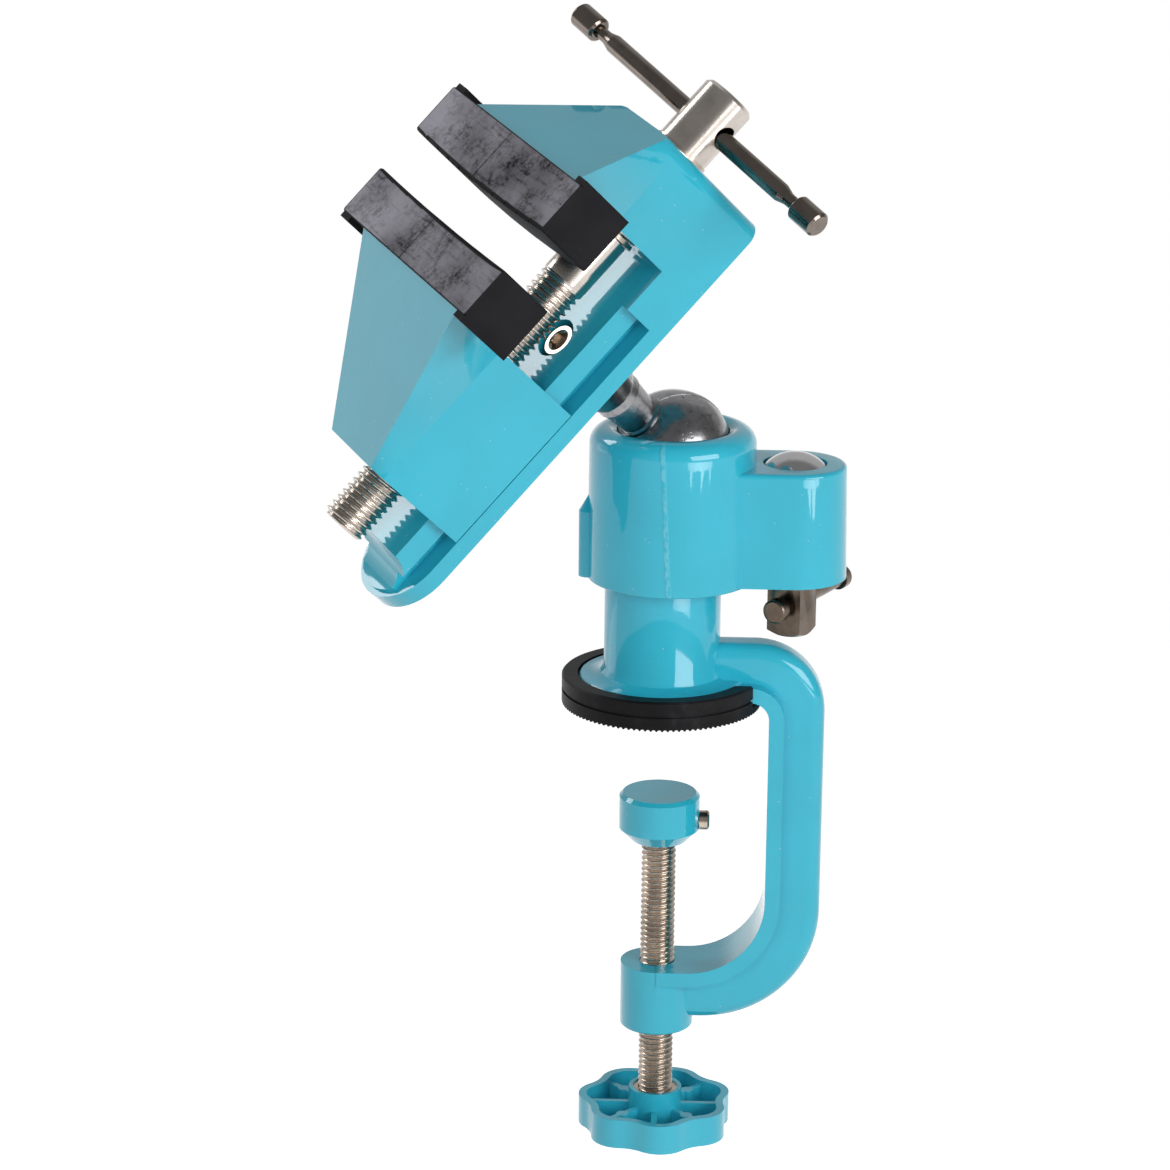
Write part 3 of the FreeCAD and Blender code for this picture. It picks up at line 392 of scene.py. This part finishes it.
def rubber_paint(tone, dust):
    """Moulded rubber of the foot: near black, with fine grain and a faint grey bloom."""
    paint = Paint("black_rubber")
    place = paint.place()
    mottle = paint.noise(place, 210.0, 5.0, 0.62)
    patches = paint.noise(place, 42.0, 3.0)
    bloom = mottle.ramp(0.5, 0.8) * 0.18 + patches.ramp(0.45, 0.75) * 0.12
    normal = paint.bump(mottle, 0.00010)
    normal = paint.bump(paint.noise(place, 2600.0, 2.0), 0.00003, normal)
    paint.shade(base_color=paint.blend(bloom, tone, dust), roughness=0.45 + bloom * 0.3, ior=1.5,
                specular_ior_level=0.12, normal=normal)


def pad_paint(tone, dust):
    """Rubber of the jaw pads: black, with a mottled grey top that has drag marks and a mould line across it.

    The grey is part dust and part painted sheen of the lamp above. The mesh's own attribute says where the top is,
    and the grey is heavier toward one end of the jaw."""
    paint = Paint("pad_rubber")
    place = paint.turned_place(HEAD)
    _, across, _ = paint.parts(place)
    on_top = paint.node("ShaderNodeAttribute", {"attribute_name": "dust"})["Fac"].ramp(0.3, 0.8)
    clouds = paint.noise(place, 105.0, 5.0, 0.7)
    mottle = paint.noise(place, 640.0, 4.0, 0.75)
    strokes = paint.noise(place, 760.0, 3.0, 0.6, (1.0, 0.09, 1.0))
    patches = paint.noise(place, 38.0, 2.0)
    marks = clouds.ramp(0.38, 0.62) * mottle.ramp(0.36, 0.64)
    drag = strokes.ramp(0.52, 0.70)
    seam = 1.0 - (across - PAD_SEAM).absolute().ramp(0.00008, 0.00026)
    thickening = across.ramp(-0.004, 0.034)
    # The grey on the top is part dust and part painted sheen: the mirrored lamp above, painted into the colour.
    top_grey = 0.30 + thickening * 0.34 + patches.ramp(0.35, 0.62) * 0.44
    dust_and_sheen = top_grey - marks * 0.42 - drag * 0.22 - seam * 0.4
    worn = 0.016 + clouds.ramp(0.55, 0.8) * 0.03 + patches.ramp(0.4, 0.8) * 0.02
    bloom = dust_and_sheen * on_top + worn * (1.0 - on_top)
    normal = paint.bump(clouds, 0.00008)
    normal = paint.bump(mottle * 0.6 - drag * 0.5 - seam * 1.5, 0.00005, normal)
    paint.shade(base_color=paint.blend(bloom, tone, dust), roughness=0.55 + bloom * 0.2, ior=1.5,
                specular_ior_level=0.05, normal=normal)


def plated_paint(name, tone, roughness, wear):
    """Plated steel: fine turning marks and a little clouding."""
    paint = Paint(name)
    place = paint.place()
    cloud = paint.noise(place, 130.0, 4.0, 0.6)
    fine = paint.noise(place, 1500.0, 2.0)
    tint = paint.blend(cloud.ramp(0.35, 0.75) * wear, tone, darker(tone, 0.55))
    normal = paint.bump(fine, 0.000012)
    paint.shade(base_color=tint, metallic=1.0, roughness=roughness + cloud * 0.12, normal=normal)


def cast_ball_paint(tone):
    """Bare cast metal, polished by the socket: soft clouds, fine scuffs and a few dark casting pits."""
    paint = Paint("scuffed_casting")
    place = paint.turned_place(HEAD)
    cloud = paint.noise(place, 110.0, 4.0, 0.6)
    scuffs = paint.noise(place, 620.0, 4.0, 0.7)
    pits = 1.0 - paint.cells(place, 640.0).ramp(0.12, 0.30)
    pitted = pits * paint.noise(place, 90.0, 2.0).ramp(0.52, 0.60)
    dark = cloud.ramp(0.40, 0.66) * 0.45 + scuffs.ramp(0.50, 0.66) * 0.40
    tint = paint.blend(dark, tone, darker(tone, 0.42))
    tint = paint.blend(pitted * 0.75, tint, PIT_TONE)
    normal = paint.bump(scuffs - pitted * 0.8, 0.00004)
    normal = paint.bump(cloud, 0.00010, normal)
    paint.shade(base_color=tint, metallic=1.0, roughness=0.17 + cloud * 0.10 + pitted * 0.3, normal=normal)


def moulding_paint(name, tone, roughness, coat):
    """Moulded plastic: even colour with a faint flow pattern."""
    paint = Paint(name)
    place = paint.place()
    flow = paint.noise(place, 60.0, 3.0)
    tint = paint.blend(flow.ramp(0.3, 0.8) * 0.5, tone, darker(tone, 0.86))
    normal = paint.bump(paint.noise(place, 500.0, 2.0), 0.00003)
    paint.shade(base_color=tint, roughness=roughness + flow * 0.06, ior=1.46, normal=normal,
                coat_weight=coat, coat_roughness=0.06)


def finishes(colours):
    """The materials, by name, made once."""
    if "teal_enamel" not in bpy.data.materials:
        enamel_paint("teal_enamel", tuple(colours.enamel), False)
        enamel_paint("seamed_enamel", tuple(colours.enamel), True)
        rubber_paint(tuple(colours.rubber), tuple(colours.rubber_dust))
        pad_paint(tuple(colours.rubber), tuple(colours.pad_dust_and_sheen))
        for name, tone, roughness, wear in (("nickel_plate", colours.nickel, 0.20, 0.8),
                                            ("bright_plate", colours.bright, 0.13, 0.5),
                                            ("chrome_plate", colours.chrome, 0.08, 0.3),
                                            ("handle_plate", colours.handle, 0.12, 0.7),
                                            ("dark_plate", colours.dark_plate, 0.22, 1.0)):
            plated_paint(name, tuple(tone), roughness, wear)
        cast_ball_paint(tuple(colours.ball))
        moulding_paint("seat_moulded", tuple(colours.seat), 0.5, 0.0)
        moulding_paint("knob_moulded", tuple(colours.enamel), 0.30, 0.6)
    return bpy.data.materials


# ---- shapes ----------------------------------------------------------------------------------------
def surface(name, points, looped=False):
    """Mesh from a grid of points (rows, columns, 3), where each row is a ring.

    Quads join neighbouring points of neighbouring rings. A looped grid joins its last ring to its first, and
    any other is closed at each end by a fan to a middle point."""
    rows, columns = points.shape[:2]
    column = np.arange(columns)
    following = (column + 1) % columns
    row = np.arange(rows if looped else rows - 1)[:, None] * columns
    above = (row + columns) % (rows * columns)
    quads = np.stack([row + column, row + following, above + following, above + column],
                     axis=-1).reshape(-1, 4)
    vertices = points.reshape(-1, 3)
    faces = [quads.tolist()]
    if not looped:
        middles = np.stack([points[0].mean(axis=0), points[-1].mean(axis=0)])
        first, last = len(vertices), len(vertices) + 1
        vertices = np.vstack([vertices, middles])
        low = np.stack([following, column, np.full(columns, first)], axis=-1)
        top = (rows - 1) * columns
        high = np.stack([top + column, top + following, np.full(columns, last)], axis=-1)
        faces += [low.tolist(), high.tolist()]
    mesh = bpy.data.meshes.new(name)
    mesh.from_pydata(vertices.tolist(), [], [face for part in faces for face in part])
    mesh.update()
    return mesh


def thread_rings(heights, radii, radius, pitch, depth, first, last, around):
    """Rings of a screw about Z: the smaller of the outline's radii and the full radius less a winding groove.

    The groove's phase is height / pitch less the share of a turn, and its section is a V with a flat crest
    and root. It is cut between the heights first and last, and runs out over one pitch at each end."""
    turn = np.arange(around) / around
    phase = (heights[:, None] / pitch - turn[None, :]) % 1.0
    vee = np.clip((1.0 - np.abs(2.0 * phase - 1.0) - CREST) / FLANKS, 0.0, 1.0)
    fade = np.clip(np.minimum(heights - first, last - heights) / pitch, 0.0, 1.0)
    reach = np.minimum(radii[:, None], radius - depth * vee * fade[:, None])
    angle = 2.0 * np.pi * turn
    return np.stack([reach * np.cos(angle), reach * np.sin(angle),
                     np.repeat(heights[:, None], around, axis=1)], axis=-1)


def foot_teeth(name, sizes):
    """Ring of grip teeth under the edge of the foot.

    The section is a small box whose underside rises and falls as a rounded square wave of the angle."""
    low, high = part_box("base_foot")
    gap = sizes.tooth_depth / 10
    outer = (high.x - low.x) / 2 - gap
    inner = (high.x - low.x) / 2 - sizes.tooth_length
    steps = sizes.foot_teeth * STEPS_A_TOOTH
    turn = 2.0 * np.pi * np.arange(steps) / steps
    wave = np.clip(TOOTH_SQUARENESS * np.cos(turn * sizes.foot_teeth), -1.0, 1.0) * 0.5 + 0.5
    radii = np.tile([inner, outer, outer, inner], (steps, 1))
    under = low.z + gap + sizes.tooth_depth * wave
    over = np.full(steps, low.z + sizes.tooth_depth * TOOTH_ROOT)
    heights = np.stack([under, under, over, over], axis=1)
    rings = np.stack([radii * np.cos(turn)[:, None], radii * np.sin(turn)[:, None], heights], axis=-1)
    return surface(name, rings, looped=True)


def undercut(mesh, reach, low, sizes):
    """Slope the outer underside of the foot up to its side, which leaves room for the teeth."""
    corners = np.empty(len(mesh.vertices) * 3)
    mesh.vertices.foreach_get("co", corners)
    corners = corners.reshape(-1, 3)
    radius = np.hypot(corners[:, 0], corners[:, 1])
    moved = (corners[:, 2] < low + sizes.tooth_depth / 10) & (radius > reach - sizes.tooth_length)
    corners[moved, :2] *= ((reach - sizes.tooth_length) / radius[moved])[:, None]
    mesh.vertices.foreach_set("co", corners.ravel())
    mesh.update()


def dust_and_sheen_top(mesh, rim):
    """Mark the flat top of a pad, inside a rim along its outline, with 1 in the attribute named dust, which
    carries both the dust and the painted sheen.
    """
    shape = bmesh.new()
    shape.from_mesh(mesh)
    back = HEAD.inverted()
    tops = [face for face in shape.faces
            if face.normal.dot(HEAD_Z) > UPWARD
            and (back @ face.calc_center_median()).z > PAD_TOP - TOP_SKIN]
    bmesh.ops.inset_region(shape, faces=tops, thickness=rim, use_even_offset=True)
    dust = shape.verts.layers.float.new("dust")
    for face in tops:
        for corner in face.verts:
            corner[dust] = 1.0
    shape.to_mesh(mesh)
    shape.free()


def link(mesh, name):
    made = bpy.data.objects.new(name, mesh)
    bpy.context.scene.collection.objects.link(made)
    return made


def smooth(mesh, angle):
    """Smooth shading, with edges sharper than the angle kept crisp."""
    mesh.polygons.foreach_set("use_smooth", np.ones(len(mesh.polygons), bool))
    mesh.set_sharp_from_angle(angle=angle)


def welded_copy(node, name, keep=None):
    """Copy of a CAD node's mesh with its corners merged and its flat faces joined.

    Where keep is given, only the faces stay whose corners all pass it."""
    mesh = frame["nodes"][node].data
    shape = bmesh.new()
    shape.from_mesh(mesh)
    bmesh.ops.remove_doubles(shape, verts=shape.verts, dist=WELD)
    if keep is not None:
        dropped = [face for face in shape.faces if not all(keep(corner.co) for corner in face.verts)]
        bmesh.ops.delete(shape, geom=dropped, context="FACES")
    bmesh.ops.dissolve_limit(shape, angle_limit=FLAT, verts=shape.verts, edges=shape.edges)
    copy = bpy.data.meshes.new(name)
    shape.to_mesh(copy)
    shape.free()
    if "custom_normal" in copy.attributes:
        copy.attributes.remove(copy.attributes["custom_normal"])
    return copy


def piece(node, kind, keep=None):
    """A welded copy of a CAD node as a new object, named for the node and its kind."""
    name = node + "_" + kind
    return link(welded_copy(node, name, keep), name)


def rounded(made, width, segments):
    """Round every sharp edge with a live bevel."""
    bevel = made.modifiers.new("edges", "BEVEL")
    bevel.width = width
    bevel.segments = segments
    bevel.limit_method = "ANGLE"
    bevel.angle_limit = SHARP
    bevel.harden_normals = True
    bevel.miter_outer = "MITER_ARC"
    smooth(made.data, CRISP)


def dress(made, node, finish):
    """Give a piece its finish and its body, and let it stand for the CAD node."""
    made.data.materials.clear()
    made.data.materials.append(finish)
    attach(made, BODY_OF[node])
    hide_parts(node)


def repaint(finish, *nodes):
    """Give CAD nodes whose shape is right a better material."""
    for node in nodes:
        made = frame["nodes"][node]
        made.data.materials.clear()
        made.data.materials.append(finish)


# ---- operators ---------------------------------------------------------------------------------------
def choices(context):
    """The scene's sizes, and the materials in its colours."""
    return context.scene.vise_sizes, finishes(context.scene.vise_colours)


class VISE_OT_castings(bpy.types.Operator):
    """Enamelled castings with the small radius of their edges"""
    bl_idname = "vise.castings"
    bl_label = "Castings"

    def execute(self, context):
        sizes, stock = choices(context)
        for node in ("clamp_frame", "socket_housing", "vise_body", "moving_jaw", "pressure_pad"):
            made = piece(node, "cast")
            rounded(made, sizes.casting_edge, 3)
            dress(made, node, stock["seamed_enamel" if node == "socket_housing" else "teal_enamel"])
        return {"FINISHED"}


class VISE_OT_rubber(bpy.types.Operator):
    """Rubber jaw pads and foot"""
    bl_idname = "vise.rubber"
    bl_label = "Rubber"

    def execute(self, context):
        sizes, stock = choices(context)
        for node, finish in (("fixed_pad", "pad_rubber"), ("moving_pad", "pad_rubber"),
                             ("base_foot", "black_rubber")):
            made = piece(node, "rubber")
            if node == "base_foot":
                low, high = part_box(node)
                undercut(made.data, (high.x - low.x) / 2, low.z, sizes)
            else:
                dust_and_sheen_top(made.data, sizes.pad_rim)
            rounded(made, sizes.rubber_edge, 2)
            dress(made, node, stock[finish])
        teeth = link(foot_teeth("foot_teeth", sizes), "foot_teeth")
        dress(teeth, "base_foot", stock["black_rubber"])
        return {"FINISHED"}


class VISE_OT_clamp_screw(bpy.types.Operator):
    """Clamp screw with its wound thread"""
    bl_idname = "vise.clamp_screw"
    bl_label = "Clamp screw"

    def execute(self, context):
        sizes, stock = choices(context)
        low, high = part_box("clamp_screw")
        radius = (high.x - low.x) / 2
        rows = int((high.z - low.z) / sizes.clamp_pitch * sizes.rows_a_turn)
        heights = np.linspace(low.z, high.z, rows)
        pad_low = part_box("pressure_pad")[0].z
        chamfer = np.clip((heights - high.z) / sizes.clamp_pitch + 1.0, 0.0, 1.0) * sizes.clamp_depth
        rings = thread_rings(heights, radius - chamfer, radius, sizes.clamp_pitch, sizes.clamp_depth, low.z,
                             pad_low + sizes.clamp_pitch, sizes.around)
        mesh = surface("clamp_screw_thread", rings)
        smooth(mesh, CRISP_THREAD)
        dress(link(mesh, "clamp_screw_thread"), "clamp_screw", stock["nickel_plate"])
        return {"FINISHED"}


class VISE_OT_spindle(bpy.types.Operator):
    """Spindle: wound thread, plain shank, and the turned head of the CAD node"""
    bl_idname = "vise.spindle"
    bl_label = "Spindle"

    def execute(self, context):
        sizes, stock = choices(context)
        back = HEAD.inverted()
        corners = head_corners("spindle")
        off_axis = np.hypot(corners[:, 1], corners[:, 2] - SPINDLE_AXIS_HEIGHT)
        start = corners[:, 0].min()
        shank = off_axis[corners[:, 0] < 0.0].max()
        on_shank = np.abs(off_axis - shank) < SAME_RADIUS
        collar = corners[on_shank & (corners[:, 0] < SHANK_REACH), 0].max()
        rows = int((collar - start) / sizes.spindle_pitch * sizes.rows_a_turn)
        heights = np.linspace(start, collar, rows)
        depth = sizes.spindle_depth
        chamfer = np.clip(1.0 - (heights - start) / depth, 0.0, 1.0) * depth
        rings = thread_rings(heights, shank - chamfer, shank, sizes.spindle_pitch, depth,
                             start - sizes.spindle_pitch, sizes.spindle_thread_end, sizes.around)
        mesh = surface("spindle_thread", rings)
        along = Matrix(((0, 0, 1, 0), (0, 1, 0, 0), (-1, 0, 0, SPINDLE_AXIS_HEIGHT), (0, 0, 0, 1)))
        mesh.transform(HEAD @ along)
        smooth(mesh, CRISP_THREAD)
        dress(link(mesh, "spindle_thread"), "spindle", stock["bright_plate"])
        head = piece("spindle", "head", lambda corner: (back @ corner).x > collar - HEAD_OVERLAP)
        rounded(head, sizes.turned_edge, 2)
        dress(head, "spindle", stock["bright_plate"])
        return {"FINISHED"}


class VISE_OT_hardware(bpy.types.Operator):
    """Bolts, nuts, washers, bars and caps"""
    bl_idname = "vise.hardware"
    bl_label = "Hardware"

    def execute(self, context):
        sizes, stock = choices(context)
        plates = {"lock_bolt": "chrome_plate", "lock_nut": "dark_plate", "lock_bar": "dark_plate",
                  "lock_bar_caps": "dark_plate", "stud_screw": "nickel_plate", "tommy_bar": "handle_plate",
                  "tommy_bar_caps": "handle_plate"}
        for node, plate in plates.items():
            made = piece(node, "turned")
            rounded(made, sizes.turned_edge, 2)
            dress(made, node, stock[plate])
        repaint(stock["nickel_plate"], "clamp_shoe", "lock_washer", "pad_screw", "stud_washer",
                "retaining_ring", "thrust_washer", "knob_insert")
        return {"FINISHED"}


class VISE_OT_ball(bpy.types.Operator):
    """Ball, stem, flared collar and the hidden seat"""
    bl_idname = "vise.ball"
    bl_label = "Ball"

    def execute(self, context):
        sizes, stock = choices(context)
        for node in ("ball_stud", "stud_spacer"):
            made = piece(node, "cast")
            rounded(made, sizes.turned_edge, 2)
            dress(made, node, stock["scuffed_casting"])
        repaint(stock["seat_moulded"], "ball_seat")
        return {"FINISHED"}


class VISE_OT_knob(bpy.types.Operator):
    """Lobed hand knob"""
    bl_idname = "vise.knob"
    bl_label = "Knob"

    def execute(self, context):
        sizes, stock = choices(context)
        made = piece("knob", "moulding")
        rounded(made, sizes.rubber_edge, 3)
        dress(made, "knob", stock["knob_moulded"])
        return {"FINISHED"}


def stand_camera(scene, view):
    """Camera at its place, turned, tipped down and rolled."""
    camera = bpy.data.cameras.new("camera")
    camera.lens, camera.sensor_width = view.focal, SENSOR_WIDTH
    camera.clip_end = 50.0
    made = bpy.data.objects.new("camera", camera)
    scene.collection.objects.link(made)
    look = Matrix.Rotation(-view.azimuth, 4, "Z") @ Matrix.Rotation(math.pi / 2 - view.elevation, 4, "X")
    made.matrix_world = Matrix.Translation(view.place) @ look @ Matrix.Rotation(view.roll, 4, "Z")
    scene.camera = made


def lay_floor(tone):
    """Plain floor just under the knob at the clamp's widest opening, as the clamp hangs from its bench.

    Light on it is matt. Seen or mirrored, it glows as well, and is white from a little way off."""
    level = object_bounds()[0][2] + JOINTS["clamp_travel"]["range_m"][0] - FLOOR_GAP
    half = FLOOR_HALF_WIDTH
    mesh = bpy.data.meshes.new("floor")
    corners = [(-half, -half, level), (half, -half, level), (half, half, level), (-half, half, level)]
    mesh.from_pydata(corners, [], [(0, 1, 2, 3)])
    floor = link(mesh, "floor")
    paint = Paint("pale_floor")
    place = paint.place()
    x, y, _ = paint.parts(place)
    away = ((x * x + y * y) ** 0.5).ramp(0.2, 0.8)
    grain = paint.noise(place, 90.0, 2.0)
    matt = paint.node("ShaderNodeBsdfDiffuse", None,
                      {"Color": paint.blend(grain * 0.3, tone, FLOOR_CLOUD)})[0]
    near = paint.node("ShaderNodeAddShader", None, {0: matt, 1: paint.glow(FLOOR_GLOW)})[0]
    shown = paint.mixed(away, near, paint.glow(1.0))
    paint.finish(paint.mixed(paint.mirrored_or_seen(), matt, shown))
    mesh.materials.append(paint.material)
    floor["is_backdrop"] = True


def surround(scene):
    """World that is dim as a light, white as a background, and for mirrors bright behind and low."""
    studio = Paint("studio", world=True)
    _, behind, above = studio.parts(studio.node("ShaderNodeTexCoord")["Generated"])
    backdrop = behind.ramp(0.3, 0.6) * (MIRRORED_BEHIND - above.ramp(0.05, 0.27) * MIRRORED_OVERHEAD)
    backdrop = backdrop + MIRRORED_FRONT
    seen = studio.node("ShaderNodeLightPath")["Is Camera Ray"]
    dim = studio.node("ShaderNodeBackground", None, {"Color": WORLD_TINT, "Strength": WORLD_LIGHT})[0]
    white = studio.node("ShaderNodeBackground", None,
                        {"Color": (1, 1, 1, 1), "Strength": seen.larger(backdrop)})[0]
    studio.finish(studio.mixed(studio.mirrored_or_seen(), dim, white))
    scene.world = studio.material


def softbox(name, target, direction, distance, width, height, power, spread, mirrored):
    """Rectangular lamp at a distance from the target, facing it."""
    lamp = bpy.data.lights.new(name, "AREA")
    lamp.shape = "RECTANGLE"
    lamp.size, lamp.size_y = width, height
    lamp.energy = power
    lamp.spread = math.radians(spread)
    made = bpy.data.objects.new(name, lamp)
    bpy.context.scene.collection.objects.link(made)
    outward = Vector(direction).normalized()
    made.location = Vector(target) + outward * distance
    made.rotation_euler = outward.to_track_quat("Z", "Y").to_euler()
    made.visible_camera = False
    made.visible_glossy = mirrored


class VISE_OT_stage(bpy.types.Operator):
    """Camera, pale floor, soft lamps and white surroundings"""
    bl_idname = "vise.stage"
    bl_label = "Stage"

    def execute(self, context):
        scene = context.scene
        stand_camera(scene, scene.vise_camera)
        lay_floor(tuple(scene.vise_colours.floor))
        surround(scene)
        for lamp in LAMPS:
            softbox(*lamp)
        scene.view_settings.view_transform = "Standard"
        return {"FINISHED"}


class VISE_PT_panel(bpy.types.Panel):
    """Lists the pieces of the vise and its settings"""
    bl_label = "Ball vise"
    bl_idname = "VISE_PT_panel"
    bl_space_type = "VIEW_3D"
    bl_region_type = "UI"
    bl_category = "Vise"

    def draw(self, context):
        for operator in OPERATORS:
            self.layout.operator(operator.bl_idname)
        for group in ("vise_sizes", "vise_colours", "vise_camera"):
            settings = getattr(context.scene, group)
            for name in settings.__annotations__:
                self.layout.prop(settings, name)


GROUPS = (VISE_PG_colours, VISE_PG_sizes, VISE_PG_camera)
OPERATORS = (VISE_OT_stage, VISE_OT_castings, VISE_OT_rubber, VISE_OT_clamp_screw, VISE_OT_spindle,
             VISE_OT_hardware, VISE_OT_ball, VISE_OT_knob)


def register():
    for group in GROUPS + OPERATORS + (VISE_PT_panel,):
        bpy.utils.register_class(group)
    bpy.types.Scene.vise_colours = PointerProperty(type=VISE_PG_colours)
    bpy.types.Scene.vise_sizes = PointerProperty(type=VISE_PG_sizes)
    bpy.types.Scene.vise_camera = PointerProperty(type=VISE_PG_camera)


def unregister():
    del bpy.types.Scene.vise_camera, bpy.types.Scene.vise_sizes, bpy.types.Scene.vise_colours
    for group in reversed(GROUPS + OPERATORS + (VISE_PT_panel,)):
        bpy.utils.unregister_class(group)


def main():
    register()
    for operator in OPERATORS:
        getattr(bpy.ops.vise, operator.bl_idname.split(".")[1])()


if __name__ == "__main__":
    main()
